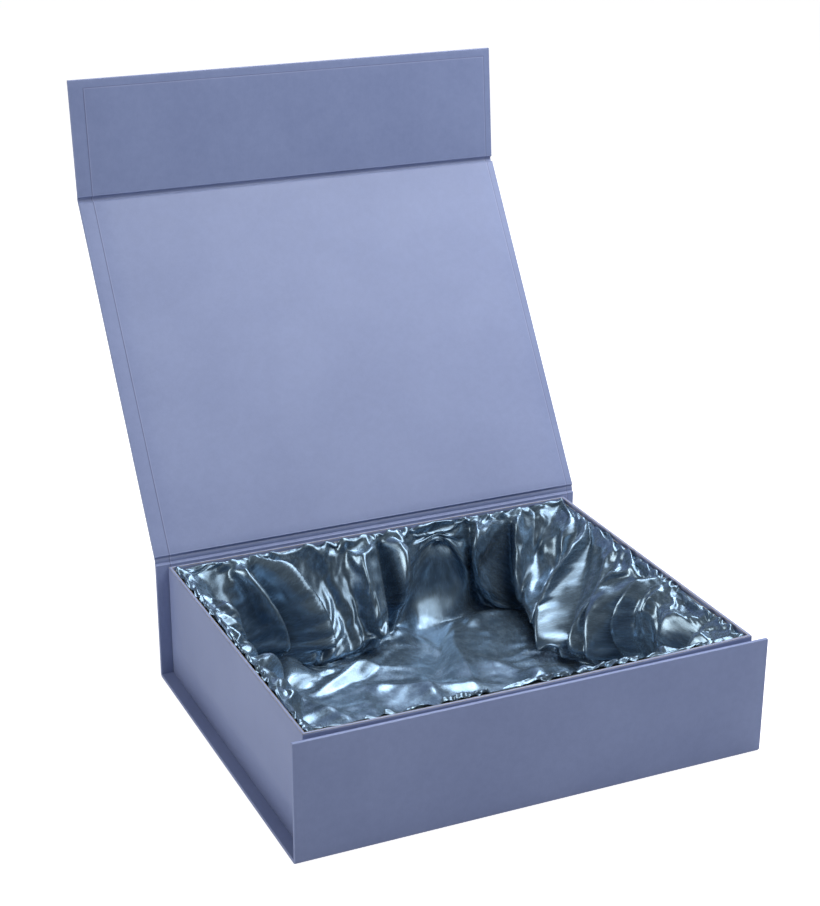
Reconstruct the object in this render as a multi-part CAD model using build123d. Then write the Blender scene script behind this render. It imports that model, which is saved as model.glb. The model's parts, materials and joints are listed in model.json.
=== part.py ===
"""A rigid board case, bound like a book: a lined tray in a wrap-around cover of five panels.

The cover is one strip of front panel, base, spine, lid and flap. The first three are glued round the
tray, and the lid and the flap fold on paper hinges. X runs along the width, -Y is the front and +Z is up.
The origin is at the middle of the base's underside.

Every panel is drawn lying flat: x across it, y along the strip and z up from its outer face to its
inner face. It is then turned into place.
"""

from build123d import *
import math
import os

# The case
case_width = 350.0
case_depth = 280.0           # outer face of the front panel to outer face of the spine
board_thickness = 2.3
paper_thickness = 0.2
turn_in = 15.0               # width of the cover paper that is folded over a board's edge
front_drop = 1.9             # the front panel's top edge, below the tray's rim
corner_round = 1.2           # outside radius of the paper where it passes under the base

# The hinges
lid_room = 2.1               # between the tray's rim and the closed lid
closing_gap = 0.5            # between the front panel and the closed flap
flap_floor_gap = 5.0         # between the table and the closed flap
fold_clearance = 0.1         # between two linings when a hinge is folded square
strip_clearance = 0.7        # each half of a hinge strip stops this far from the axis
lid_open = 123.6             # degrees from closed, as the case stands
flap_fold = 28.1             # degrees from flat, as the case stands

# The paper linings
liner_left = 11.0            # margins between a liner and its panel's edges
liner_right = 5.0
liner_end = 6.0

# The magnets and the discs that they hold to
magnet_radius = 7.5
magnet_thickness = 1.5
disc_thickness = 1.0
pocket_clearance = 0.05
magnet_spacing = 200.0
magnet_height = 50.0         # above the table, with the case closed

# The tray
tray_height = 90.4           # rim above the table
tray_square = 9.2            # each side of the tray, in from the case's side
tray_wall = 2.0
tray_floor_thickness = 2.0
front_corner_gap = 3.0       # between the front panel and the tray's two front corners
bow_clearance = 0.1          # between the front panel and the middle of the bowed front wall
tape_thickness = 0.15
tape_leg = 14.0
tape_height = 62.0
rim_turn = 18.0              # how far the wrap goes down inside the rim
foot_turn = 16.0             # how far the wrap goes in under the tray

# The satin and what carries it
card_thickness = 0.5
card_drop = 3.0              # top of the card strips, below the rim
pad_thickness = 3.0
satin_drop = 0.6             # top of the satin, below the rim
satin_thickness = 2.0
satin_foot = 18.0            # how far the satin leans in from the walls where it meets the floor
soft_clearance = 0.2

# Worked out
panel_thickness = board_thickness + 3 * paper_thickness
hinge_depth = 2 * paper_thickness
half_gap = panel_thickness - hinge_depth + paper_thickness + fold_clearance
strip_reach = half_gap - strip_clearance
hinge_height = tray_height + lid_room + panel_thickness - hinge_depth
lid_axis_y = case_depth / 2 - hinge_depth
flap_axis_y = -(case_depth / 2 + closing_gap + panel_thickness - hinge_depth)
lid_length = lid_axis_y - flap_axis_y
flap_length = hinge_height - flap_floor_gap
front_height = tray_height - front_drop
corner_reach = hinge_depth + half_gap
board_top = paper_thickness + board_thickness
turn_top = board_top + paper_thickness

tray_back = case_depth / 2 - panel_thickness
tray_front = -tray_back + front_corner_gap
tray_bow = front_corner_gap - bow_clearance
wall_outside = paper_thickness + tape_thickness
wall_inside = wall_outside + tray_wall
wrap_inside = wall_inside + paper_thickness
card_inside = wrap_inside + soft_clearance + card_thickness
satin_outside = card_inside + soft_clearance
tray_foot = panel_thickness
floor_low = tray_foot + paper_thickness
floor_top = floor_low + tray_floor_thickness
pad_top = floor_top + pad_thickness
satin_floor = pad_top + soft_clearance
satin_top = tray_height - satin_drop


def block(x, y, z):
    """A box between two limits along each axis."""
    size = Box(x[1] - x[0], y[1] - y[0], z[1] - z[0])
    return Pos((x[0] + x[1]) / 2, (y[0] + y[1]) / 2, (z[0] + z[1]) / 2) * size


def across(margin):
    """The limits of a piece centred on the panel, with the same margin at both sides."""
    return (margin - case_width / 2, case_width / 2 - margin)


# Panels, lying flat

def panel_board(start, end):
    """The greyboard from start to end along the strip, inside the paper at both sides."""
    return block(across(paper_thickness), (start, end), (paper_thickness, board_top))


def panel_cover(start, end, before, after, start_turned=False, end_turned=False):
    """Cover paper round a board: the outer skin, both side edges and their turn-ins.

    The skin runs on past the board by before and after. A turned end is closed and folded over too.
    """
    low = start - (paper_thickness if start_turned else 0)
    high = end + (paper_thickness if end_turned else 0)
    bare_low = low + (paper_thickness + turn_in if start_turned else 0)
    bare_high = high - (paper_thickness + turn_in if end_turned else 0)
    skin = block(across(0), (low - before, high + after), (0, paper_thickness))
    wrapped = block(across(0), (low, high), (0, turn_top))
    bare = block(across(paper_thickness + turn_in), (bare_low, bare_high), (board_top, turn_top))
    return skin + (wrapped - panel_board(start, end) - bare)


def panel_liner(start, end, start_turned=False, end_turned=False, start_foot=False, end_foot=False):
    """Lining paper: flat over the turn-ins, pressed down to the board between them.

    At a turned end it stops short of the edge. A foot is where it goes down a board's edge and out
    along the cover paper, which makes one half of a hinge.
    """
    width = (liner_left - case_width / 2, case_width / 2 - liner_right)
    low = start + (liner_end if start_turned else 0)
    high = end - (liner_end if end_turned else 0)
    bare_low = start + (turn_in if start_turned else 0)
    bare_high = end - (turn_in if end_turned else 0)
    liner = block(width, (low, high), (turn_top, panel_thickness))
    liner += block(across(paper_thickness + turn_in), (bare_low, bare_high), (board_top, turn_top))
    for edge, way, wanted in ((start, -1, start_foot), (end, 1, end_foot)):
        if wanted:
            drop = sorted((edge, edge + way * paper_thickness))
            foot = sorted((edge, edge + way * strip_reach))
            liner += block(width, drop, (paper_thickness, panel_thickness))
            liner += block(width, foot, (paper_thickness, hinge_depth))
    return liner


def disc_pair(place_y, low, high, radius):
    """Two discs side by side, the magnets' spacing apart."""
    pair = Part()
    for side in (-1, 1):
        disc = Cylinder(radius, high - low, align=(Align.CENTER, Align.CENTER, Align.MIN))
        pair += Pos(side * magnet_spacing / 2, place_y, low) * disc
    return pair


# Where each panel goes

base_place = Location((0, 0, 0))
spine_place = Location((0, case_depth / 2, 0), (90, 0, 0))
front_place = Location((0, -case_depth / 2, front_height), (-90, 0, 0))
drop_to_axis = Location((0, 0, -hinge_depth))
lid_place = Location((0, lid_axis_y, hinge_height), (180 - lid_open, 0, 0)) * drop_to_axis
lid_angle = math.radians(lid_open)
flap_axis = (
    0,
    lid_axis_y - lid_length * math.cos(lid_angle),
    hinge_height + lid_length * math.sin(lid_angle),
)
flap_place = Location(flap_axis, (180 - lid_open + flap_fold, 0, 0)) * drop_to_axis


def base_panel():
    """The bottom panel. Its cover turns up at the front and the back to meet the standing panels."""
    end = case_depth / 2 - corner_reach
    outside = Pos(0, corner_reach / 2) * Rectangle(case_depth, corner_reach)
    outside = fillet(outside.vertices().sort_by(Axis.Y)[:2], corner_round)
    inner_width = case_depth - 2 * paper_thickness
    inside = Pos(0, paper_thickness + corner_reach / 2) * Rectangle(inner_width, corner_reach)
    inside = fillet(inside.vertices().sort_by(Axis.Y)[:2], corner_round - paper_thickness)
    skin = extrude(Plane.YZ * (outside - inside), case_width / 2, both=True)
    return {
        "base_board": panel_board(-end, end),
        "base_cover": skin + panel_cover(-end, end, 0, 0),
        "base_liner": panel_liner(-end, end),
    }


def spine_panel():
    """The back panel, with the lower half of the lid's hinge at its top."""
    end = hinge_height - half_gap
    return {
        "spine_board": panel_board(corner_reach, end),
        "spine_cover": panel_cover(corner_reach, end, 0, strip_reach),
        "spine_liner": panel_liner(corner_reach, end, end_foot=True),
    }


def front_panel():
    """The front panel, drawn from its top edge down, with steel discs under the cover paper."""
    end = front_height - corner_reach
    disc_y = front_height - magnet_height
    disc_top = paper_thickness + disc_thickness
    pockets = disc_pair(disc_y, paper_thickness, disc_top, magnet_radius + pocket_clearance)
    return {
        "front_board": panel_board(paper_thickness, end) - pockets,
        "front_cover": panel_cover(paper_thickness, end, 0, 0, start_turned=True),
        "front_liner": panel_liner(paper_thickness, end, start_turned=True),
        "front_steel_discs": disc_pair(disc_y, paper_thickness, disc_top, magnet_radius),
    }


def lid_panel():
    """The lid, with half of a hinge at each end."""
    start = half_gap
    end = lid_length - half_gap
    return {
        "lid_board": panel_board(start, end),
        "lid_cover": panel_cover(start, end, strip_reach, strip_reach),
        "lid_liner": panel_liner(start, end, start_foot=True, end_foot=True),
    }


def flap_panel():
    """The flap, drawn from its hinge to its free edge, with magnets under the liner."""
    start = half_gap
    end = flap_length - paper_thickness
    magnet_y = hinge_height - magnet_height
    magnet_low = board_top - magnet_thickness
    pockets = disc_pair(magnet_y, magnet_low, board_top, magnet_radius + pocket_clearance)
    return {
        "flap_board": panel_board(start, end) - pockets,
        "flap_cover": panel_cover(start, end, strip_reach, 0, end_turned=True),
        "flap_liner": panel_liner(start, end, end_turned=True, start_foot=True),
        "flap_magnets": disc_pair(magnet_y, magnet_low, board_top, magnet_radius),
    }


# The tray

def outline(inset):
    """The tray's plan, moved in by inset: straight sides and back, and a front that bows outwards."""
    side = case_width / 2 - tray_square - inset
    back = tray_back - inset
    front = tray_front + inset
    straight = Polyline((side, front), (side, back), (-side, back), (-side, front))
    bowed = ThreePointArc((-side, front), (0, front - tray_bow), (side, front))
    return make_face(straight + bowed)


def ring(outer, inner, low, high):
    """A wall between two outlines, from low to high."""
    return Pos(0, 0, low) * extrude(outline(outer) - outline(inner), high - low)


def four_sides(outer, inner, low, high):
    """The same wall cut into four strips: the left and right ones run the whole depth."""
    whole = ring(outer, inner, low, high)
    side = case_width / 2 - tray_square
    reach = side - inner
    depth = (-case_depth, case_depth)
    tall = (low, high)
    middle = (-reach, reach)
    return {
        "left": whole & block((-side, -reach), depth, tall),
        "right": whole & block((reach, side), depth, tall),
        "front": whole & block(middle, (-case_depth, 0), tall),
        "back": whole & block(middle, (0, case_depth), tall),
    }


def tray_wrap():
    """Paper round the outside, over the rim, down inside it and in under the foot, in one piece."""
    wrap = ring(0, paper_thickness, tray_foot, tray_height)
    wrap += ring(0, wrap_inside, tray_height - paper_thickness, tray_height)
    wrap += ring(wall_inside, wrap_inside, tray_height - rim_turn, tray_height)
    wrap += ring(0, foot_turn, tray_foot, tray_foot + paper_thickness)
    return wrap


def tray_corner_tapes():
    """A strip of tape round each corner of the boards, under the wrap."""
    middle = (floor_low + tray_height) / 2
    low = middle - tape_height / 2
    high = middle + tape_height / 2
    layer = ring(paper_thickness, wall_outside, low, high)
    side = case_width / 2 - tray_square
    corner_x = side - tape_leg
    left = (-side, -corner_x)
    right = (corner_x, side)
    at_front = (tray_front - front_corner_gap, tray_front + tape_leg)
    at_back = (tray_back - tape_leg, tray_back)
    tapes = Part()
    for along in (left, right):
        for deep in (at_front, at_back):
            tapes += layer & block(along, deep, (low, high))
    return tapes


def tray():
    """Floor, four walls, corner tapes and wrap."""
    walls = four_sides(wall_outside, wall_inside, floor_low, tray_height - paper_thickness)
    pieces = {"tray_" + side + "_wall": walls[side] for side in walls}
    pieces["tray_floor"] = Pos(0, 0, floor_low) * extrude(outline(wall_inside), tray_floor_thickness)
    pieces["tray_corner_tapes"] = tray_corner_tapes()
    pieces["tray_wrap"] = tray_wrap()
    return pieces


# The lining

def hollow(low, high, top_inset, foot_inset):
    """The solid between two outlines, one above the other."""
    return loft([Pos(0, 0, low) * outline(foot_inset), Pos(0, 0, high) * outline(top_inset)])


def satin_lining():
    """Satin as a plain open bowl: it hangs from the walls' tops and leans in to the floor."""
    outside = hollow(satin_floor, satin_top, satin_outside, satin_outside + satin_foot)
    within = satin_outside + satin_thickness
    inside = hollow(satin_floor + satin_thickness, satin_top, within, within + satin_foot)
    return outside - inside


def lining():
    """Card strips inside the walls, the floor pad and the satin."""
    cards = four_sides(wrap_inside + soft_clearance, card_inside, floor_top, tray_height - card_drop)
    pieces = {"lining_card_" + side: cards[side] for side in cards}
    pieces["floor_pad"] = Pos(0, 0, floor_top) * extrude(outline(satin_outside), pad_thickness)
    pieces["satin_lining"] = satin_lining()
    return pieces


def placed(pieces, place):
    """The same pieces, turned and moved into place."""
    return {name: place * piece for name, piece in pieces.items()}


def build():
    """Every piece by name, where it is with the case standing open."""
    pieces = placed(base_panel(), base_place)
    pieces.update(placed(spine_panel(), spine_place))
    pieces.update(placed(front_panel(), front_place))
    pieces.update(placed(lid_panel(), lid_place))
    pieces.update(placed(flap_panel(), flap_place))
    pieces.update(tray())
    pieces.update(lining())
    return pieces


os.makedirs("parts", exist_ok=True)
for name, piece in build().items():
    export_step(piece, "parts/" + name + ".step")
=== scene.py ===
"""Hinged case with a satin lining: its looks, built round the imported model.

Lengths are in millimetres up to the moment a mesh is made, and in metres in the meshes. A cover panel
is drawn lying flat: x across it, u along the strip that the panels are cut from, and n from its outer
face to its inner face. It is then carried along its own line in the plane of y and z.
"""

import json
import math

import bpy
import numpy as np
from mathutils import Matrix, Vector


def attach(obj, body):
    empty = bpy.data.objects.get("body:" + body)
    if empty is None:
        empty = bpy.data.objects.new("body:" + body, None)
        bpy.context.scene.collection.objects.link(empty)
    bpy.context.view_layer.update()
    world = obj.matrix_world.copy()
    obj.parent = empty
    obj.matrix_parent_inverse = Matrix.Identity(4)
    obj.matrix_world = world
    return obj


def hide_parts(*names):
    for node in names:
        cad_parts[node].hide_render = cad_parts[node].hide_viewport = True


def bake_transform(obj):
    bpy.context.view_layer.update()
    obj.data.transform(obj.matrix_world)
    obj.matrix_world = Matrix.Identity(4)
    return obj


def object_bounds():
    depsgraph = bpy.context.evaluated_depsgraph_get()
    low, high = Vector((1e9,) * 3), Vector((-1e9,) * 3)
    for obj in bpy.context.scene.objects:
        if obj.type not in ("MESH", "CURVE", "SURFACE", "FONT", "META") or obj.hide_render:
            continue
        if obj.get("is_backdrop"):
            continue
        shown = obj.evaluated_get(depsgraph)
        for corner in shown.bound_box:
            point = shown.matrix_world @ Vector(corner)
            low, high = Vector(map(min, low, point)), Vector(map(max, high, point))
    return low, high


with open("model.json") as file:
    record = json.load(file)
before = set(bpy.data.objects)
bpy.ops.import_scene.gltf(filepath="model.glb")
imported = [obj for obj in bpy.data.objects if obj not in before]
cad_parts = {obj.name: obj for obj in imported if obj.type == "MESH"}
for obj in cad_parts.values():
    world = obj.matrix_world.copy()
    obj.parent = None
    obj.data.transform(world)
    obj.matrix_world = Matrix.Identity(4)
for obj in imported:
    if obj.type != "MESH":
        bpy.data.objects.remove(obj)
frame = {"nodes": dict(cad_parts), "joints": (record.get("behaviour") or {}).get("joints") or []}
cad_low, cad_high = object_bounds()

MM = 0.001

# The cover
HALF_WIDTH = 175.0
HALF_DEPTH = 140.0
PANEL = 2.75                 # a covered board, without its liner
LINED = 2.9                  # a covered board and its liner
EDGE_ROUND = 0.55
FOLD_ROUND = 1.62            # radius of the mid-line where the cover turns under the base
FRONT_TOP = 88.5
SPINE_TOP = 92.2
HALF_GAP = 2.8               # half of the bare strip between two boards
HINGE_DEPTH = 0.4
GROOVE = 1.7                 # half width of the flat bottom of a hinge's trough
STRIP_LAP = 0.7              # how far a hinge strip laps onto the boards beside it

# The liners' margins
LINER_LEFT = 11.0
LINER_RIGHT = 5.0
LINER_END = 6.0
LINER_FOOT = 3.4             # the spine's liner, above the table

# The hinges, as the case stands: degrees turned from a lid lying shut
LID_TURN = 123.6
FLAP_TURN = 95.5
SPINE_TURN = 90.0
LID_LENGTH = 282.6
FLAP_LENGTH = 90.0

# The tray's paper
TRAY_HALF = 165.8
TRAY_BACK = 137.1
TRAY_FRONT = -134.06
TRAY_BOW = 2.9
TRAY_FOOT = 2.9
TRAY_RIM = 90.4
TRAY_SKIN = 2.55             # thickness of the papered wall
TRAY_CORNER = 0.9
RIM_TURN = 18.0
PAPER = 0.2


def joint_place(name):
    """The (y, z) of a hinge's axis, in millimetres."""
    for joint in frame["joints"]:
        if joint["name"] == name:
            return np.array(joint["pos_m"][1:]) / MM
    raise ValueError(name)


LID_AXIS = joint_place("lid_hinge")
FLAP_AXIS = joint_place("flap_hinge")


# ---------------------------------------------------------------- meshes

def make_piece(name, points, faces, strip=None, smooth=True):
    """A mesh object from points in millimetres and faces. strip, where given, is (x, u) for each point."""
    mesh = bpy.data.meshes.new(name)
    mesh.from_pydata((np.asarray(points, float) * MM).tolist(), [], [list(map(int, f)) for f in faces])
    mesh.polygons.foreach_set("use_smooth", [smooth] * len(mesh.polygons))
    if strip is not None:
        layer = mesh.uv_layers.new(name="strip")
        corner = np.empty(len(mesh.loops), int)
        mesh.loops.foreach_get("vertex_index", corner)
        places = np.asarray(strip, float)[corner] * MM * 10
        layer.data.foreach_set("uv", places.ravel().astype(np.float32))
    mesh.update()
    mesh.validate()
    piece = bpy.data.objects.new(name, mesh)
    bpy.context.scene.collection.objects.link(piece)
    return piece


def grid_faces(rows, columns, closed_columns=False, closed_rows=False):
    """Quads of a grid of points held row after row."""
    r = np.arange(rows if closed_rows else rows - 1)
    c = np.arange(columns if closed_columns else columns - 1)
    a, b = np.meshgrid(r, c, indexing="ij")
    a2, b2 = (a + 1) % rows, (b + 1) % columns
    quads = np.stack([a * columns + b, a2 * columns + b, a2 * columns + b2, a * columns + b2], -1)
    return quads.reshape(-1, 4)


def face_outwards(piece):
    """Turns a closed mesh's faces so that they point outwards."""
    mesh = piece.data
    tri = np.array(triangles(mesh))
    co = np.array([v.co for v in mesh.vertices])
    a, b, c = co[tri[:, 0]], co[tri[:, 1]], co[tri[:, 2]]
    if np.einsum("ij,ij->i", a, np.cross(b, c)).sum() < 0:
        mesh.flip_normals()
    return piece


def triangles(mesh):
    """The mesh cut into triangles, each as the numbers of its three points."""
    mesh.calc_loop_triangles()
    return [[t.vertices[0], t.vertices[1], t.vertices[2]] for t in mesh.loop_triangles]


def turned_frame(turn):
    """Unit vectors along u and n, in the plane of y and z, for a panel turned this many degrees."""
    t = math.radians(turn)
    return np.array([-math.cos(t), math.sin(t)]), np.array([-math.sin(t), -math.cos(t)])


def straight_line(axis, turn, low, high):
    """A line for a flat panel: its point at u is the axis point plus u along, and n stands off
    the hinge's depth."""
    along, inward = turned_frame(turn)

    def place(u, n):
        """The (y, z) of points u along the panel and n in from its outer face."""
        u = np.asarray(u, float) + low
        return axis[0] + u * along[0] + (n - HINGE_DEPTH) * inward[0], \
            axis[1] + u * along[1] + (n - HINGE_DEPTH) * inward[1]

    return place, high - low, low


def trough_line():
    """The case's line: down the front, round under the base and up the spine, with an arc at each turn."""
    r = FOLD_ROUND
    mid = PANEL / 2
    down = FRONT_TOP - mid - r
    across = 2 * (HALF_DEPTH - mid - r)
    up = SPINE_TOP - mid - r
    arc = r * math.pi / 2
    ends = np.cumsum([0, down, arc, across, arc, up])

    def place(s, n):
        """The (y, z) of points s along the case's line and n in from its outer face."""
        s = np.asarray(s, float)
        n = np.asarray(n, float) - mid
        a1 = np.clip((s - ends[1]) / arc, 0, 1) * math.pi / 2
        a2 = np.clip((s - ends[3]) / arc, 0, 1) * math.pi / 2
        first = np.minimum(s, ends[1])
        base = np.clip(s - ends[2], 0, across)
        last = np.maximum(s - ends[4], 0)
        y = -HALF_DEPTH + mid + r * (1 - np.cos(a1)) + base + r * np.sin(a2)
        z = FRONT_TOP - first - r * np.sin(a1) + r * (1 - np.cos(a2)) + last
        turn = a1 + a2
        return y + n * np.cos(turn), z + n * np.sin(turn)

    return place, ends[-1], ends


def ring_caps(rows, ring):
    """Quads that close both ends of a tube: each joins the two halves of the end's ring."""
    half = ring // 2
    faces = []
    for base, flip in ((0, False), ((rows - 1) * ring, True)):
        j = np.arange(half - 1)
        cap = np.stack([base + j, base + j + 1, base + ring - 2 - j, base + ring - 1 - j], -1)
        faces += (cap[:, ::-1] if flip else cap).tolist()
    return faces


def rounded_board(name, line, length, left, right, low, high, stops=(), start=0.0, radius=EDGE_ROUND,
                  across=24):
    """A board with all its edges rounded: the ring round its section is drawn inwards by
    radius * (1 - cos a) as x goes through the last radius * sin a, for a from 0 to a quarter turn.
    """
    steps = 5
    quarter = np.linspace(0, math.pi / 2, steps)
    xs = []
    shrink = []
    for a in quarter[::-1]:
        xs.append(left + radius - radius * math.sin(a))
        shrink.append(a)
    for x in np.linspace(left + radius, right - radius, across)[1:-1]:
        xs.append(x)
        shrink.append(0.0)
    for a in quarter:
        xs.append(right - radius + radius * math.sin(a))
        shrink.append(a)
    kept_stops = [s for s in stops if radius < s < length - radius]
    run = np.unique(np.concatenate([np.linspace(radius, length - radius, 40), kept_stops]))
    arc = np.linspace(0, math.pi / 2, steps)
    centre_n = low + radius
    rows = []
    flat = []
    for x, a in zip(xs, shrink):
        r = radius * math.cos(a)
        s_side = np.concatenate([radius - r * np.cos(arc), run[1:-1], length - radius + r * np.sin(arc)])
        n_side = np.concatenate([centre_n - r * np.sin(arc), np.full(len(run) - 2, centre_n - r),
                                 centre_n - r * np.cos(arc)])
        s_ring = np.concatenate([s_side, s_side[::-1]])
        n_ring = np.concatenate([n_side, low + high - n_side[::-1]])
        y, z = line(s_ring, n_ring)
        rows.append(np.stack([np.full_like(y, x), y, z], -1))
        flat.append(np.stack([np.full_like(y, x), s_ring + start], -1))
    ring = len(rows[0])
    points = np.concatenate(rows)
    faces = grid_faces(len(rows), ring, closed_columns=True).tolist() + ring_caps(len(rows), ring)
    return face_outwards(make_piece(name, points, faces, np.concatenate(flat)))


def bent(u, n, axis, before, after, reach):
    """A strip's (y, z): a point at u turns about the axis by the smooth step of (u + reach) / (2 reach)."""
    t = np.clip((u + reach) / (2 * reach), 0, 1)
    w = t * t * (3 - 2 * t)
    turn = np.radians(before + (after - before) * w)
    y = axis[0] - u * np.cos(turn) - (n - HINGE_DEPTH) * np.sin(turn)
    z = axis[1] + u * np.sin(turn) - (n - HINGE_DEPTH) * np.cos(turn)
    return y, z


def hinge_strip(name, axis, before, after, reach, left, right, outer, trough, top, start):
    """Paper across a hinge: a trough between two boards, its floor flat and its sides a smooth step.
    It is flat on the outside but for a shallow pressed groove."""
    u = np.linspace(-HALF_GAP - STRIP_LAP, HALF_GAP + STRIP_LAP, 49)
    wall = np.clip((np.abs(u) - GROOVE) / (HALF_GAP - GROOVE + 0.15), 0, 1)
    inside = trough + (top - trough) * wall ** 2 * (3 - 2 * wall)
    outside = outer + 0.22 * np.exp(-(u / 1.5) ** 2) * (1 if outer <= 0.01 else 0)
    u_ring = np.concatenate([u, u[::-1]])
    n_ring = np.concatenate([outside, inside[::-1]])
    y, z = bent(u_ring, n_ring, axis, before, after, reach)
    inset = 0.12
    xs = np.concatenate([[left, left + inset], np.linspace(left + 4, right - 4, 30),
                         [right - inset, right]])
    rows = [np.stack([np.full_like(y, x), y, z], -1) for x in xs]
    flat = [np.stack([np.full_like(y, x), u_ring + start], -1) for x in xs]
    ring = len(u_ring)
    faces = grid_faces(len(rows), ring, closed_columns=True).tolist() + ring_caps(len(rows), ring)
    return face_outwards(make_piece(name, np.concatenate(rows), faces, np.concatenate(flat)))


# ---------------------------------------------------------------- the cover's pieces

def build_cover():
    """The wrap-around cover: the case's three glued panels, the lid, the flap and their paper hinges."""
    line, length, ends = trough_line()
    arcs = np.concatenate([np.linspace(ends[1], ends[2], 9), np.linspace(ends[3], ends[4], 9)])
    case = rounded_board("case_cover", line, length, -HALF_WIDTH, HALF_WIDTH, 0.0, PANEL, stops=arcs)
    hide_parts("base_cover", "front_cover", "spine_cover")
    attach(case, "case")
    pieces = {"case_cover": case}

    spine_line, spine_length, low = straight_line(LID_AXIS, SPINE_TURN, LINER_FOOT - LID_AXIS[1], -HALF_GAP)
    spine = rounded_board("spine_liner_paper", spine_line, spine_length, -HALF_WIDTH + LINER_LEFT,
                          HALF_WIDTH - LINER_RIGHT, PANEL - 0.1, LINED, radius=0.08, start=-spine_length)
    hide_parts("spine_liner")
    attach(spine, "case")
    pieces["spine_liner_paper"] = spine

    for body, axis, turn, first, last, end_margin in (
        ("lid", LID_AXIS, LID_TURN, HALF_GAP, LID_LENGTH - HALF_GAP, 0.0),
        ("flap", FLAP_AXIS, FLAP_TURN, HALF_GAP, FLAP_LENGTH, LINER_END),
    ):
        line, length, low = straight_line(axis, turn, first, last)
        board = rounded_board(body + "_panel", line, length, -HALF_WIDTH, HALF_WIDTH, 0.0, PANEL, start=low)
        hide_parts(body + "_cover")
        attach(board, body)
        line, length, low = straight_line(axis, turn, first, last - end_margin)
        liner = rounded_board(body + "_liner_paper", line, length, -HALF_WIDTH + LINER_LEFT,
                              HALF_WIDTH - LINER_RIGHT, PANEL - 0.1, LINED, radius=0.08, start=low)
        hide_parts(body + "_liner")
        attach(liner, body)
        pieces[body + "_panel"] = board
        pieces[body + "_liner_paper"] = liner

    for hinge, axis, before, after, bodies, reach in (
        ("lid_hinge", LID_AXIS, SPINE_TURN, LID_TURN, ("case", "lid"), HALF_GAP),
        ("flap_hinge", FLAP_AXIS, LID_TURN, FLAP_TURN, ("lid", "flap"), HALF_GAP - 0.6),
    ):
        start = bent(np.array(-reach), np.array(HINGE_DEPTH), axis, before, after, reach)
        end = bent(np.array(reach), np.array(HINGE_DEPTH), axis, before, after, reach)
        for part, left, right, outer, trough, top in (
            ("cover", -HALF_WIDTH + 0.05, HALF_WIDTH - 0.05, 0.0, 0.42, PANEL + 0.02),
            ("liner", -HALF_WIDTH + LINER_LEFT, HALF_WIDTH - LINER_RIGHT, 0.2, 0.6, LINED + 0.03),
        ):
            strip = hinge_strip(f"{hinge}_{part}_paper", axis, before, after, reach, left, right,
                                outer, trough, top, 0.0)
            start[0] * MM
            start[1] * MM
            end[0] * MM
            end[1] * MM
            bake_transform(strip)
            pieces[f"{hinge}_{part}_paper"] = strip
    return pieces


def tray_outline(inset):
    """The tray's outline, drawn in by inset, as points matched one to one for every inset.
    The front bows out by TRAY_BOW * (1 - (x / half)^2)."""
    half = TRAY_HALF - inset
    back = TRAY_BACK - inset
    front = TRAY_FRONT + inset
    r = max(TRAY_CORNER - inset, 0.1)
    points = []
    for sx, sy, first in ((-1, -1, 180), (1, -1, 270), (1, 1, 0), (-1, 1, 90)):
        cx = sx * (half - r)
        cy = (back - r) if sy > 0 else (front + r)
        a = np.radians(first + np.linspace(0, 90, 6))
        points.append(np.stack([cx + r * np.cos(a), cy + r * np.sin(a)], -1))
    out = []
    for k in range(4):
        a, b = points[k][-1], points[(k + 1) % 4][0]
        t = np.linspace(0, 1, 26)[1:-1, None]
        out += [points[k], a + (b - a) * t]
    loop = np.concatenate(out)
    on_front = loop[:, 1] < front + r + 0.01
    loop[:, 1] -= on_front * TRAY_BOW * (1 - np.clip(np.abs(loop[:, 0]) / half, 0, 1) ** 2)
    return loop


def build_tray_paper():
    """The paper over the tray: up the outside, over the rounded rim and down inside, as one closed skin."""
    half = TRAY_SKIN / 2
    arc = np.radians(np.linspace(180, 0, 13))
    outer = [(0.0, TRAY_FOOT), (0.0, 30.0), (0.0, 60.0)]
    over = [(half + half * math.cos(a), TRAY_RIM - half + half * math.sin(a)) for a in arc]
    down = [(TRAY_SKIN, TRAY_RIM - RIM_TURN), (TRAY_SKIN - PAPER, TRAY_RIM - RIM_TURN)]
    under = [(half + (half - PAPER) * math.cos(a), TRAY_RIM - half + (half - PAPER) * math.sin(a))
             for a in arc[::-1]]
    close = [(PAPER, 60.0), (PAPER, 30.0), (PAPER, TRAY_FOOT)]
    section = outer + over + down + under + close
    rows = []
    for inset, z in section:
        loop = tray_outline(inset)
        rows.append(np.column_stack([loop, np.full(len(loop), z)]))
    count = len(rows[0])
    steps = np.linalg.norm(np.diff(rows[0], axis=0), axis=1)
    way = np.concatenate([[0], np.cumsum(steps)])
    flat = np.concatenate([np.column_stack([way, np.full(count, z)]) for _, z in section])
    faces = grid_faces(len(rows), count, closed_columns=True, closed_rows=True)
    piece = face_outwards(make_piece("tray_paper", np.concatenate(rows), faces, flat))
    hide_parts("tray_wrap")
    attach(piece, "case")
    return piece


# ---------------------------------------------------------------- the satin

HALF_X = 162.3
BACK_Y = 133.4
FRONT_Y = -130.7
MID_Y = (BACK_Y + FRONT_Y) / 2
HALF_Y = (BACK_Y - FRONT_Y) / 2
AROUND = 4 * (HALF_X + HALF_Y)


def smooth(t):
    """The smooth step 3 t^2 - 2 t^3, with t held from 0 to 1."""
    t = np.clip(t, 0, 1)
    return t * t * (3 - 2 * t)


def round_rim(x, y):
    """Millimetres round the rim from its front left corner: along the front, the right side, the back
    and the left."""
    front = np.abs(y - FRONT_Y) < 1e-6
    right = (np.abs(x - HALF_X) < 1e-6) & ~front
    back = (np.abs(y - BACK_Y) < 1e-6) & ~right & ~front
    return np.where(front, along_front(x),
                    np.where(right, along_right(y), np.where(back, along_back(x), along_left(y))))


def along_front(x):
    """Millimetres round the rim at this x on its front side."""
    return x + HALF_X


def along_right(y):
    """Millimetres round the rim at this y on its right side."""
    return 2 * HALF_X + y - FRONT_Y


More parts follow.
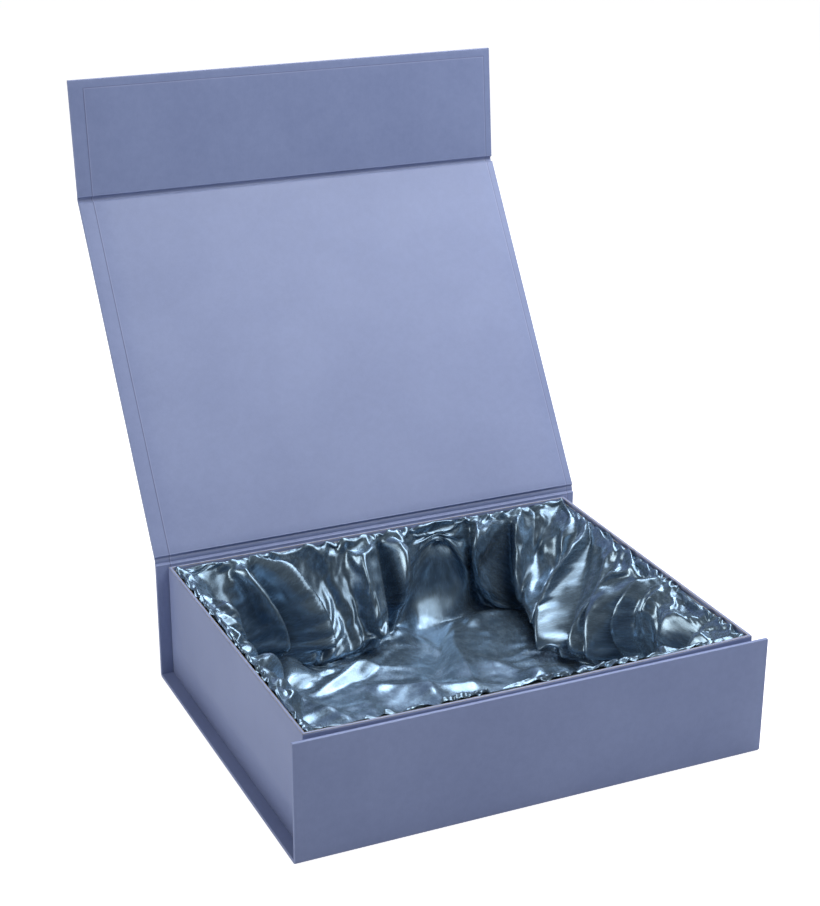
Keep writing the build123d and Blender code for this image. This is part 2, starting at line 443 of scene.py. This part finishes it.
def along_back(x):
    """Millimetres round the rim at this x on its back side."""
    return 3 * HALF_X + 2 * HALF_Y - x


def along_left(y):
    """Millimetres round the rim at this y on its left side."""
    return 4 * HALF_X + 2 * HALF_Y + BACK_Y - y


def hump(s, centre, half):
    """exp(-(distance / half)^2), where the distance runs round the rim either way."""
    away = (s - centre + AROUND / 2) % AROUND - AROUND / 2
    return np.exp(-(away / half) ** 2)


def peak(s, centre, half):
    """exp(-(distance / half)^1.3), which is sharper than a hump at its middle."""
    away = (s - centre + AROUND / 2) % AROUND - AROUND / 2
    return np.exp(-np.abs(away / half) ** 1.3)


def pouch_reach(s):
    """How far the cloth's fullest part stands in from the wall, round the rim: a roll with deeper
    pouches in it."""
    reach = np.full_like(s, 25.0)
    for centre, half, more in POUCHES:
        reach += more * hump(s, centre, half)
    return reach


def hem_height(s):
    """How high the fullest part hangs above the table, round the rim."""
    height = np.full_like(s, 24.0)
    for centre, half, more in LIFTS:
        height += more * peak(s, centre, half)
    return height


# Pouches: middle and half width round the rim, and how much further in they stand
POUCHES = (
    (along_back(-88), 60, 32), (along_back(-14), 30, 12), (along_back(54), 30, -20),
    (along_right(92), 62, 38), (along_right(14), 38, 22), (along_right(-70), 34, -2),
    (along_left(60), 30, 3), (along_left(-20), 26, 2), (along_left(-90), 26, -3), (along_front(40), 60, 1),
    (along_front(-60), 40, -2),
)
# Where the hem is drawn up: middle, half width and height
LIFTS = (
    (along_back(54), 34, 62),
)
# Where pleats lean: middle, half width, and how far they have moved round by the hem
SLANTS = (
    (along_right(96), 120, 105), (along_back(-110), 60, -34), (along_left(0), 120, 26),
    (along_front(0), 120, -24),
)


def through_points(points, t):
    """A Catmull-Rom curve through points, an array of (count, 2, ...), at t from 0 to 1 in each column."""
    count = len(points)
    f = np.clip(t, 0, 1) * (count - 1)
    i = np.minimum(f.astype(int), count - 2)
    f = f - i
    held = np.stack([2 * points[0] - points[1], *points, 2 * points[-1] - points[-2]])
    a, b, c, d = (np.take_along_axis(held, (i + k)[None, None], 0)[0] for k in range(4))
    return 0.5 * (2 * b + (c - a) * f + (2 * a - 5 * b + 4 * c - d) * f ** 2
                  + (3 * b - a - 3 * c + d) * f ** 3)


def sheet_grid():
    """The sheet's own two directions, each from -1 to 1, at every point of its grid."""
    return np.meshgrid(np.linspace(-1, 1, SATIN_ACROSS + 1), np.linspace(-1, 1, SATIN_DEEP_COUNT + 1),
                       indexing="ij")


def satin_section(s, reach, hem, foot):
    """The section's ten points, as (distance in from the wall, height), at each place round the rim.
    It is a plain roll where the cloth stands 25 mm in, and a hanging belly where it differs by 12 mm."""
    fall = 88 - hem
    flat = np.zeros_like(s)
    swag = np.clip(np.abs(reach - 25) / 12, 0, 1)
    tuck = hem - np.minimum(0.35 * hem, 12)
    return np.stack([np.stack([roll[0] * (1 - swag) + belly[0] * swag,
                               roll[1] * (1 - swag) + belly[1] * swag]) for roll, belly in (
        ((flat, flat + 88.6), (flat, flat + 88.6)),
        ((flat + 4, flat + 91.8), (flat + 3.5, flat + 91.4)),
        ((0.52 * reach, flat + 92.0), (0.22 * reach + 4, flat + 88.5)),
        ((0.90 * reach, flat + 88.5), (0.50 * reach + 4, 88 - 0.22 * fall)),
        ((1.10 * reach, flat + 79), (0.78 * reach + 2, 88 - 0.50 * fall)),
        ((1.06 * reach, flat + 64), (0.96 * reach, 88 - 0.78 * fall)),
        ((0.84 * reach, flat + 45), (reach, hem)),
        ((0.62 * reach, flat + 28), (0.82 * reach, tuck)),
        ((0.62 * reach, flat + 15), (0.82 * reach + 0.40 * (foot - 0.82 * reach), 11 + 0.42 * (tuck - 11))),
        ((foot, flat + 10.8), (foot, flat + 10.8)),
    )])


def pleat_place(s, inward):
    """Where a point counts as being round the rim, for its pleats: wandering a little, and moved on
    by the slants towards the hem."""
    turn = 2 * np.pi / AROUND
    warped = s + 9 * np.sin(11 * turn * s) + 6 * np.sin(19 * turn * s + 1)
    warped += inward * (16 * np.sin(3 * turn * s + 0.6) + 10 * np.sin(7 * turn * s + 2))
    for centre, half, slant in SLANTS:
        warped += inward * slant * hump(s, centre, half)
    return warped


def pleat_depth(warped, inward, reach, gather):
    """How far the pleats stand off the section: small at the frill, and deeper where a pouch hangs."""
    turn = 2 * np.pi / AROUND
    deep_part = np.clip((reach - 22) / 30, 0, 1)
    frill = np.exp(-((inward - 0.08) / 0.10) ** 2)
    belly = smooth(inward / 0.20) * smooth((1.02 - inward) / 0.30)
    pleat = 2.4 * frill * np.sin(86 * turn * warped + 0.4)
    pleat += (3.6 + 3.2 * deep_part) * belly * fold(33 * turn * warped + 1.9)
    pleat += (2.4 * (1 - deep_part)) * belly * fold(52 * turn * warped + 0.7)
    pleat += (3.2 + 5.5 * deep_part) * belly * smooth(inward / 0.4) * fold(21 * turn * warped + 0.2)
    pleat *= gather
    return pleat


def satin_form(gather):
    """The satin's shape before it settles, and each point's share of the way in from the rim.

    A square sheet is taken as rings. From the rim inwards the section is a curve through ten points:
    over a frill, down the pouch's belly to its hem, back under it and out along the floor. Pleats are
    sine waves round the rim, many and small at the frill and fewer and deeper below, that stand off the
    section. gather is how deep they are.
    """
    across, deep = sheet_grid()
    ring = np.maximum(np.abs(across), np.abs(deep))
    safe = np.maximum(ring, 1e-9)
    rim_x = np.where(ring < 1e-9, HALF_X, HALF_X * across / safe)
    rim_y = np.where(ring < 1e-9, MID_Y, MID_Y + HALF_Y * deep / safe)
    s = round_rim(rim_x, rim_y)
    reach = pouch_reach(s)
    hem = hem_height(s)
    foot = 0.78 * reach + 58 * hump(s, along_back(48), 32)
    section = satin_section(s, reach, hem, foot)
    inward = np.clip((1 - ring) / (1 - FLOOR_SHARE), 0, 1)
    here = through_points(section, inward)
    ahead = through_points(section, np.clip(inward + 1e-3, 0, 1))
    slope = (ahead - here) / 1e-3
    length = np.hypot(*slope) + 1e-6
    off_in = -slope[1] / length
    off_up = 0.6 * np.abs(slope[0] / length)

    turn = 2 * np.pi / AROUND
    warped = pleat_place(s, inward)
    pleat = pleat_depth(warped, inward, reach, gather)
    at_rim = ring > 0.999
    pleat = np.where(at_rim, 0.0, pleat)
    away = here[0] + pleat * off_in
    height = here[1] + pleat * off_up
    ruffle = np.sin(70 * turn * warped) + 0.6 * np.sin(113 * turn * warped + 1.0)
    away = away + np.where(at_rim, 0.9 * (1 + 0.6 * ruffle), 0.0)
    height = height + 0.8 * ruffle * np.exp(-((inward / 0.10) ** 2))

    to_middle = np.hypot(rim_x, rim_y - MID_Y)
    on_floor = ring < FLOOR_SHARE
    away = np.where(on_floor, to_middle - (to_middle - foot) * np.clip(ring / FLOOR_SHARE, 0, 1), away)
    x = rim_x - rim_x / to_middle * away
    y = rim_y - (rim_y - MID_Y) / to_middle * away
    low = 11.6 + np.maximum(gather * floor_ripple(x, y), -0.6)
    down = smooth((inward - 0.75) / 0.25)
    height = np.where(on_floor, low, height * (1 - down) + low * down)
    points = np.stack([np.clip(x, -HALF_X, HALF_X), np.clip(y, FRONT_Y, BACK_Y),
                       np.clip(height, 9.4, 92.1)], -1)
    return points.reshape(-1, 3), ring.ravel(), inward.ravel()


def fold(angle):
    """A wave with full rounded crests and tight valleys: 1.6 |cos(angle / 2)| - 1."""
    return 1.6 * np.abs(np.cos(angle / 2)) - 1.0


def floor_ripple(x, y):
    """Slack in the cloth on the floor: long waves in a few directions, each sum of cosines seeded."""
    rng = np.random.default_rng(3)
    total = np.zeros_like(x)
    for wavelength, size, count in ((95, 2.2, 10), (45, 0.9, 12)):
        way = rng.normal(size=(count, 2))
        waves = 2 * np.pi / (wavelength * (0.7 + 0.6 * rng.random(count)))
        way *= (waves / np.linalg.norm(way, axis=1))[:, None]
        start = rng.uniform(0, 2 * np.pi, count)
        waving = sum(np.cos(a * x + b * y + c) for (a, b), c in zip(way, start))
        total += size * waving / math.sqrt(count / 2)
    return total


def floor_creases(x, y):
    """Long sharp creases: each falls away from its line as exp(-distance / width), three times wider on one
    side, and fades towards its ends as exp(-(along / length)^4)."""
    total = np.zeros_like(x)
    for cx, cy, way, long, tall, wide in CREASES:
        c, n = math.cos(math.radians(way)), math.sin(math.radians(way))
        along, off = (x - cx) * c + (y - cy) * n, (y - cy) * c - (x - cx) * n
        off = off + 5 * np.sin(along / 31 + cx)
        side = np.where(off > 0, off / wide, -off / (3.2 * wide))
        total += tall * np.exp(-np.sqrt(side ** 2 + 0.04)) * np.exp(-(along / long) ** 4)
    return total


# Long creases in the cloth on the floor: middle x and y, way it runs in degrees, half length, height, width
CREASES = (
    (40, 60, -112, 60, 7.8, 6.0), (-10, 20, -30, 52, 6.5, 5.5), (20, -40, -150, 60, 7.8, 5.0),
    (-60, -30, -100, 50, 8.5, 6.5), (70, -60, -20, 46, 6.5, 5.0), (-95, 20, -60, 40, 6.5, 5.0),
    (60, 10, -75, 45, 7.8, 5.5), (-30, -80, 15, 60, 7.8, 5.0), (-40, 60, -20, 40, 5.9, 5.0),
    (10, 95, -80, 32, 5.9, 4.5), (100, -95, 40, 36, 6.5, 5.0), (-5, -10, -85, 40, 5.9, 4.5),
)
SATIN_ACROSS = 146
SATIN_DEEP_COUNT = 120
FLOOR_SHARE = 0.38
SATIN_FRAMES = 26


def let_settle(piece, cut, hold):
    """Runs the cloth in the tray and keeps the shape that it settles into. cut is the sheet's own size,
    as points in metres, and hold is how firmly each point stays where it was laid."""
    piece.shape_key_add(name="laid")
    own = piece.shape_key_add(name="cut")
    own.data.foreach_set("co", cut.astype(np.float32).ravel())
    own.value = 0.0
    group = piece.vertex_groups.new(name="hold")
    level = np.round(hold, 3)
    for value in np.unique(level):
        group.add(np.nonzero(level == value)[0].tolist(), float(value), "REPLACE")
    cloth = piece.modifiers.new("cloth", "CLOTH")
    s = cloth.settings
    s.quality = 5
    s.mass = 0.15
    s.time_scale = 0.6
    s.air_damping = 1.0
    s.tension_stiffness = s.compression_stiffness = 15
    s.shear_stiffness = 3
    s.bending_stiffness = 0.3
    s.tension_damping = s.compression_damping = 5
    s.shear_damping = 2
    s.bending_damping = 0.5
    s.vertex_group_mass = "hold"
    s.pin_stiffness = 1.0
    s.rest_shape_key = own
    s.effector_weights.gravity = 0.6
    touch = cloth.collision_settings
    touch.use_collision = True
    touch.distance_min = 0.0012
    touch.collision_quality = 1
    touch.use_self_collision = True
    touch.self_distance_min = 0.0016
    touch.self_friction = 3
    x, y0, y1 = HALF_X + 1.2, FRONT_Y - 1.2, BACK_Y + 1.2
    corners = [(-x, y0), (x, y0), (x, y1), (-x, y1)]
    tray = make_piece("settling_tray",
                      [(a, b, 8.3) for a, b in corners] + [(a, b, 120.0) for a, b in corners],
                      [(0, 1, 2, 3), (0, 4, 5, 1), (1, 5, 6, 2), (2, 6, 7, 3), (3, 7, 4, 0)], smooth=False)
    tray.modifiers.new("tray", "COLLISION")
    tray.collision.thickness_outer = 0.001
    tray.collision.thickness_inner = 0.01
    tray.collision.cloth_friction = 3.0
    tray.collision.use_culling = False
    scene = bpy.context.scene
    scene.frame_start, scene.frame_end = 1, SATIN_FRAMES
    cloth.point_cache.frame_start, cloth.point_cache.frame_end = 1, SATIN_FRAMES
    for number in range(1, SATIN_FRAMES + 1):
        scene.frame_set(number)
    settled = np.empty(len(piece.data.vertices) * 3, np.float32)
    piece.evaluated_get(bpy.context.evaluated_depsgraph_get()).data.vertices.foreach_get("co", settled)
    scene.frame_set(1)
    piece.modifiers.clear()
    piece.shape_key_clear()
    piece.vertex_groups.clear()
    piece.data.vertices.foreach_set("co", settled)
    bpy.data.objects.remove(tray)


def sew_satin():
    """The gathered satin, one sheet of it from rim to rim."""
    laid, ring, inward = satin_form(2.1)
    faces = grid_faces(SATIN_ACROSS + 1, SATIN_DEEP_COUNT + 1)
    across, deep = sheet_grid()
    threads = np.stack([across.ravel() * 290, deep.ravel() * 236], -1)
    piece = make_piece("satin", laid, faces, threads)
    cut, _, _ = satin_form(3.7)
    slack = 1.045 + 0.075 * smooth((ring - FLOOR_SHARE) / 0.3)
    hold = np.where(ring > 0.999, 1.0, 0.035 * (0.5 + 0.5 * (1 - inward)))
    let_settle(piece, cut * MM * slack[:, None], hold)
    finer = piece.modifiers.new("finer", "SUBSURF")
    finer.levels = finer.render_levels = 1
    keep_as_is(piece)
    press_creases(piece)
    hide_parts("satin_lining")
    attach(piece, "case")
    return piece


def keep_as_is(piece):
    """Makes what a piece's modifiers give its own mesh."""
    graph = bpy.context.evaluated_depsgraph_get()
    graph.update()
    mesh = bpy.data.meshes.new_from_object(piece.evaluated_get(graph), depsgraph=graph)
    piece.modifiers.clear()
    piece.data = mesh


def press_creases(piece):
    """Raises the long creases where the cloth lies on the floor: in full up to 28 mm high, and none
    above 48 mm."""
    co = np.empty(len(piece.data.vertices) * 3, np.float32)
    piece.data.vertices.foreach_get("co", co)
    points = co.reshape(-1, 3)
    x, y, z = points.T / MM
    inside = smooth((HALF_X - 12 - np.abs(x)) / 20) * smooth((HALF_Y - 12 - np.abs(y - MID_Y)) / 20)
    points[:, 2] += floor_creases(x, y) * smooth((48 - z) / 20) * inside * MM
    piece.data.vertices.foreach_set("co", points.ravel())
    piece.data.update()


def cloth_area(piece):
    """The area of a mesh, in square metres, as its modifiers leave it."""
    mesh = piece.evaluated_get(bpy.context.evaluated_depsgraph_get()).data
    size = np.empty(len(mesh.polygons), np.float32)
    mesh.polygons.foreach_get("area", size)
    return float(size.sum())


# ---------------------------------------------------------------- materials

class Socket:
    """A number, colour or vector on its way to a socket. Arithmetic on it adds the nodes."""

    def __init__(self, make, out):
        """A value held by a finish's node socket."""
        self.make, self.out = make, out

    def _math(self, operation, other, swap=False):
        """The Math node for this operation. swap puts this value second."""
        a, b = (other, self) if swap else (self, other)
        return self.make.node("ShaderNodeMath", {"operation": operation}, {0: a, 1: b})

    def __add__(self, other):
        """The sum."""
        return self._math("ADD", other)

    __radd__ = __add__

    def __mul__(self, other):
        """The product."""
        return self._math("MULTIPLY", other)

    __rmul__ = __mul__

    def __sub__(self, other):
        """This less the other."""
        return self._math("SUBTRACT", other)

    def __rsub__(self, other):
        """The other less this."""
        return self._math("SUBTRACT", other, swap=True)

    def smaller(self, other):
        """The smaller of the two."""
        return self._math("MINIMUM", other)

    def size(self):
        """The value without its sign."""
        return self._math("ABSOLUTE", 0.0)

    def step(self, low, high, first=0.0, last=1.0):
        """A smooth step from first to last as this number goes from low to high."""
        return self.make.node("ShaderNodeMapRange", {"interpolation_type": "SMOOTHSTEP"},
                              {"Value": self, "From Min": low, "From Max": high,
                               "To Min": first, "To Max": last})


class Finish:
    """One material: a Principled shader, and the nodes that feed it."""

    def __init__(self, name, **constants):
        """A new material. constants are the shader's plain values, with _ for a space in their names."""
        self.material = bpy.data.materials.new(name)
        self.material.use_nodes = True
        self.tree = self.material.node_tree
        self.shader = self.tree.nodes["Principled BSDF"]
        for socket, value in constants.items():
            self.shader.inputs[socket.replace("_", " ")].default_value = value

    def node(self, kind, settings=None, sockets=None, output=0):
        """A node of this type: its settings first, then the values or links of its sockets."""
        made = self.tree.nodes.new(kind)
        for key, value in (settings or {}).items():
            if key == "stops":
                ramp = made.color_ramp
                while len(ramp.elements) < len(value):
                    ramp.elements.new(0.5)
                for element, (place, colour) in zip(ramp.elements, value):
                    element.position = place
                    element.color = (*colour, 1.0)
            else:
                setattr(made, key, value)
        for key, value in (sockets or {}).items():
            self.put(made.inputs[key], value)
        return Socket(self, made.outputs[output])

    def put(self, socket, value):
        """Links a Socket to a socket, or sets a plain number, colour or vector on it."""
        if isinstance(value, Socket):
            self.tree.links.new(value.out, socket)
        elif isinstance(value, tuple) and socket.type == "RGBA":
            socket.default_value = (*value, 1.0)[:4]
        else:
            socket.default_value = value

    def feed(self, name, value):
        """Feeds one of the shader's sockets."""
        self.put(self.shader.inputs[name], value)

    def place(self):
        """The piece's own coordinates, in metres."""
        return self.node("ShaderNodeTexCoord", output="Object")

    def strip(self):
        """The piece's own map of x and u, ten times metres."""
        return self.node("ShaderNodeUVMap", {"uv_map": "strip"})

    def noise(self, where, scale, detail=2.0, rough=0.5, stretch=None):
        """Noise from 0 to 1, its scale stretched in each direction where given."""
        if stretch:
            where = self.node("ShaderNodeMapping", None, {"Vector": where, "Scale": stretch})
        return self.node("ShaderNodeTexNoise", None,
                         {"Vector": where, "Scale": scale, "Detail": detail, "Roughness": rough})

    def mix(self, factor, a, b):
        """Colour a at factor 0 and b at 1."""
        return self.node("ShaderNodeMix", {"data_type": "RGBA"}, {0: factor, 6: a, 7: b}, output=2)

    def bump(self, height, distance, strength=1.0, over=None):
        """A bump of this height, on top of another where given."""
        sockets = {"Height": height, "Distance": distance, "Strength": strength}
        if over is not None:
            sockets["Normal"] = over
        return self.node("ShaderNodeBump", None, sockets)


PAPER_PALE = (0.196, 0.252, 0.462)
PAPER_DEEP = (0.157, 0.206, 0.398)


def paper_finish(name, edges=None):
    """Matt printed paper: a soft mottle, fine fibres and a grain too small to see but as a little tooth.
    edges is (left, right, far) in metres of a liner's cut edges: along them a fine painted shadow line is
    drawn, standing in for the shade of the liner's step, with a faint painted highlight about a millimetre
    in from it."""
    finish = Finish(name, Specular_IOR_Level=0.6)
    where = finish.place()
    cloud = finish.noise(where, 14.0, 3.0, 0.55)
    mottle = finish.noise(where, 170.0, 3.0, 0.65)
    fibre = finish.noise(where, 900.0, 2.0, 0.6, stretch=(1.0, 1.0, 0.35))
    tone = cloud.step(0.30, 0.70) * 0.45 + mottle.step(0.25, 0.75) * 0.40 + fibre.step(0.3, 0.7) * 0.15
    colour = finish.mix(tone, PAPER_DEEP, PAPER_PALE)
    if edges:
        left, right, far = edges
        strip = finish.strip()
        split = finish.node("ShaderNodeSeparateXYZ", None, {"Vector": strip})
        x = Socket(finish, split.out.node.outputs["X"])
        u = Socket(finish, split.out.node.outputs["Y"])
        near = (x - left * 10).size().smaller((x - right * 10).size())
        if far is not None:
            near = near.smaller((u - far * 10).size())
        wander = finish.noise(where, 60.0, 1.0) * 0.0016
        # Painted shadow: a dark line about half a millimetre wide along the liner's cut edge, in place of
        # the shade its thin step would cast.
        line = (near - wander).step(0.0035, 0.0065, 1.0, 0.0)
        colour = finish.mix(line * 0.62, colour, (0.075, 0.095, 0.22))
        # Painted highlight: a faint pale band about a millimetre in from the liner's cut edge.
        painted_edge_highlight = (near - 0.0095).size().step(0.0, 0.0045, 1.0, 0.0)
        colour = finish.mix(painted_edge_highlight * 0.30, colour, (0.42, 0.46, 0.68))
    finish.feed("Base Color", colour)
    finish.feed("Roughness", mottle.step(0.2, 0.8, 0.46, 0.56))
    tooth = finish.bump(mottle + fibre * 0.6, 0.00005, 0.55)
    wave = finish.bump(cloud, 0.0006, 0.5, over=tooth)
    finish.feed("Normal", wave)
    return finish.material


def board_finish(name, colour, pale, scale=350.0):
    """Pressed pulp: grey or buff board with darker and paler flecks."""
    finish = Finish(name, Roughness=0.85, Specular_IOR_Level=0.25)
    where = finish.place()
    fleck = finish.noise(where, scale, 5.0, 0.7)
    pulp = finish.noise(where, scale * 0.12, 3.0, 0.6)
    finish.feed("Base Color", finish.mix(fleck.step(0.35, 0.7) * 0.7 + pulp * 0.3, colour, pale))
    finish.feed("Normal", finish.bump(fleck, 0.0001, 0.5))
    return finish.material


def metal_finish(name, colour, roughness):
    """Plated steel: turned rings too fine to catch the eye, with faint handling marks."""
    finish = Finish(name, Metallic=1.0)
    where = finish.place()
    marks = finish.noise(where, 220.0, 4.0, 0.6)
    brushed = finish.noise(where, 900.0, 1.0, 0.5, stretch=(1.0, 1.0, 0.05))
    finish.feed("Base Color", finish.mix(marks.step(0.3, 0.7), colour, tuple(c * 0.82 for c in colour)))
    finish.feed("Roughness", brushed.step(0.2, 0.8, roughness * 0.8, roughness * 1.25))
    finish.feed("Normal", finish.bump(brushed, 0.00002, 0.4))
    return finish.material


def tape_finish(name):
    """Brown gummed kraft tape, its fibres drawn along the roll."""
    finish = Finish(name, Roughness=0.55, Specular_IOR_Level=0.4)
    where = finish.place()
    fibre = finish.noise(where, 420.0, 4.0, 0.65, stretch=(0.15, 0.15, 1.0))
    blot = finish.noise(where, 40.0, 2.0)
    finish.feed("Base Color", finish.mix(fibre.step(0.3, 0.7) * 0.7 + blot * 0.3,
                                         (0.30, 0.17, 0.075), (0.46, 0.29, 0.145)))
    finish.feed("Normal", finish.bump(fibre, 0.00008, 0.5))
    return finish.material


def wadding_finish(name):
    """Soft white fill: a tangle of fine fibres with no sheen."""
    finish = Finish(name, Roughness=0.95, Specular_IOR_Level=0.1, Sheen_Weight=0.4, Sheen_Roughness=0.6)
    where = finish.place()
    tangle = finish.noise(where, 260.0, 6.0, 0.75)
    tuft = finish.noise(where, 50.0, 3.0, 0.6)
    finish.feed("Base Color", finish.mix(tangle * 0.6 + tuft * 0.4, (0.62, 0.62, 0.60), (0.86, 0.86, 0.84)))
    finish.feed("Normal", finish.bump(tangle + tuft, 0.0012, 0.6))
    return finish.material


SATIN_DEEP = (0.075, 0.130, 0.200)
SATIN_BLUE = (0.230, 0.335, 0.455)


def satin_finish(name):
    """Steel blue satin: its floats lie along one thread direction, so it shines like brushed metal,
    with a fine weave that follows the cloth, and threads a little paler and darker than each other."""
    finish = Finish(name, Metallic=0.72, Specular_IOR_Level=0.6, Sheen_Weight=0.04, Sheen_Roughness=0.3,
                    Anisotropic=0.3)
    strip = finish.strip()
    thread = finish.noise(strip, 900.0, 2.0, 0.5, stretch=(1.0, 0.03, 1.0))
    weft = finish.noise(strip, 700.0, 2.0, 0.5, stretch=(0.05, 1.0, 1.0))
    crush = finish.noise(strip, 16.0, 4.0, 0.6)
    finish.feed("Base Color", finish.mix(thread * 0.35 + crush.step(0.3, 0.7) * 0.5 + weft * 0.15,
                                         SATIN_DEEP, SATIN_BLUE))
    finish.feed("Roughness", (thread * 0.5 + crush * 0.5).step(0.25, 0.75, 0.20, 0.32))
    weave = finish.bump(thread + weft * 0.5, 0.00003, 0.5)
    finish.feed("Normal", finish.bump(crush, 0.0002, 0.3, over=weave))
    return finish.material


# ---------------------------------------------------------------- the surroundings

def light(name, place, aim, size, watts, colour=(1.0, 1.0, 1.0)):
    """A square soft box at place, in metres, that looks at aim."""
    lamp = bpy.data.lights.new(name, "AREA")
    lamp.energy, lamp.size, lamp.color = watts, size, colour
    holder = bpy.data.objects.new(name, lamp)
    bpy.context.scene.collection.objects.link(holder)
    holder.location = place
    holder.rotation_euler = (Vector(aim) - Vector(place)).to_track_quat("-Z", "Y").to_euler()
    return holder


def build_studio():
    """A white table that runs on past the picture, a white room and four soft boxes."""
    reach = 12.0
    mesh = bpy.data.meshes.new("table_top")
    mesh.from_pydata([(-reach, -reach, 0), (reach, -reach, 0), (reach, reach, 0), (-reach, reach, 0)],
                     [], [(0, 1, 2, 3)])
    floor = bpy.data.objects.new("table_top", mesh)
    bpy.context.scene.collection.objects.link(floor)
    white = Finish("white_table", Roughness=0.9, Emission_Strength=1.0)
    where = white.place()
    white.feed("Base Color", white.mix(white.noise(where, 3.0), (0.42, 0.42, 0.43), (0.45, 0.45, 0.46)))
    seen = white.node("ShaderNodeLightPath", output="Is Camera Ray")
    white.feed("Emission Color", white.mix(seen, (TABLE_CAST * 0.95, TABLE_CAST * 0.98, TABLE_CAST * 1.04),
                                           (TABLE_SEEN,) * 3))
    floor.data.materials.append(white.material)
    floor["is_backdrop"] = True

    room = bpy.data.worlds.new("room")
    bpy.context.scene.world = room
    room.use_nodes = True
    tree = room.node_tree
    background = tree.nodes["Background"]
    background.inputs["Color"].default_value = (1.0, 1.0, 1.0, 1.0)
    rays = tree.nodes.new("ShaderNodeLightPath")
    brightness = tree.nodes.new("ShaderNodeMix")
    tree.links.new(rays.outputs["Is Camera Ray"], brightness.inputs[0])
    brightness.inputs[2].default_value = ROOM_LIGHT
    brightness.inputs[3].default_value = 1.0
    tree.links.new(brightness.outputs[0], background.inputs["Strength"])

    for name, place, aim, size, watts, colour in LAMPS:
        light(name, place, aim, size, watts, colour)


ROOM_LIGHT = 0.10
TABLE_SEEN = 0.94
TABLE_CAST = 0.25
LAMPS = (
    ("over_right_box", (0.62, 0.0, 1.36), (0.0, 0.05, 0.10), 1.1, 18.0, (1.0, 0.99, 0.97)),
    ("front_right_box", (0.65, -0.94, 1.40), (0.0, 0.05, 0.10), 1.2, 12.0, (1.0, 0.96, 0.90)),
    ("over_back_box", (0.45, 0.80, 1.70), (0.0, 0.0, 0.02), 0.7, 13.0, (0.97, 0.99, 1.0)),
    ("left_box", (-2.0, 0.10, 0.65), (0.0, 0.05, 0.10), 1.1, 25.0, (1.0, 0.92, 0.80)),
)

CAMERA_AZIMUTH = -24.395
CAMERA_ELEVATION = 22.729
CAMERA_ROLL = 0.11
CAMERA_AIM = (0.0, 0.0702, 0.1451)
CAMERA_AWAY = 1.4164
CAMERA_LENS = 76.92
CAMERA_RISE = 0.0464


def build_camera():
    """The camera looks down on the case's front left corner, level but for a touch of roll."""
    a, e, o = (math.radians(v) for v in (CAMERA_AZIMUTH, CAMERA_ELEVATION, CAMERA_ROLL))
    back = Vector((math.sin(a) * math.cos(e), -math.cos(a) * math.cos(e), math.sin(e)))
    right = Vector((0, 0, 1)).cross(back).normalized()
    up = back.cross(right)
    turned = right * math.cos(o) + up * math.sin(o)
    risen = up * math.cos(o) - right * math.sin(o)
    lens = bpy.data.cameras.new("camera")
    lens.sensor_width = 36.0
    lens.lens = CAMERA_LENS
    lens.shift_y = CAMERA_RISE
    camera = bpy.data.objects.new("camera", lens)
    bpy.context.scene.collection.objects.link(camera)
    stand = Matrix((turned, risen, back)).transposed().to_4x4()
    stand.translation = Vector(CAMERA_AIM) + back * CAMERA_AWAY
    camera.matrix_world = stand
    bpy.context.scene.camera = camera


# ---------------------------------------------------------------- the whole case

cover = build_cover()
tray_paper = build_tray_paper()
satin = sew_satin()

cover_paper = paper_finish("cover_paper")
liner_left_edge = -(HALF_WIDTH - LINER_LEFT) * MM
liner_right_edge = (HALF_WIDTH - LINER_RIGHT) * MM
liner_far_edge = (FLAP_LENGTH - LINER_END) * MM
lid_liner_paper = paper_finish("lid_liner_paper", (liner_left_edge, liner_right_edge, None))
flap_liner_paper = paper_finish("flap_liner_paper", (liner_left_edge, liner_right_edge, liner_far_edge))
for name, piece in cover.items():
    if "liner" in name:
        piece.data.materials.append(flap_liner_paper if name == "flap_liner_paper" else lid_liner_paper)
    else:
        piece.data.materials.append(cover_paper)
tray_paper.data.materials.append(cover_paper)
satin.data.materials.append(satin_finish("steel_blue_satin"))

greyboard = board_finish("greyboard", (0.20, 0.19, 0.175), (0.36, 0.345, 0.32))
lining_card = board_finish("lining_card", (0.52, 0.50, 0.45), (0.70, 0.68, 0.62), 500.0)
node_finishes = {
    "board": greyboard, "tray_floor": greyboard, "wall": greyboard, "card": lining_card,
    "tapes": tape_finish("kraft_tape"), "pad": wadding_finish("wadding"),
    "discs": metal_finish("steel_disc", (0.60, 0.60, 0.58), 0.35),
    "magnets": metal_finish("magnet", (0.68, 0.67, 0.64), 0.22),
    "liner": paper_finish("base_liner_paper"),
    "cover": cover_paper, "wrap": cover_paper, "satin": satin.data.materials[0],
}
for name, node in frame["nodes"].items():
    node.data.materials.clear()
    node.data.materials.append(next(finish for word, finish in node_finishes.items() if word in name))

build_studio()
build_camera()
bpy.context.scene.view_settings.view_transform = "Standard"

seen_low, seen_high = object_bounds()
({"cad": [list(cad_low), list(cad_high)], "seen": [list(seen_low), list(seen_high)],
           "satin_area": cloth_area(satin)})
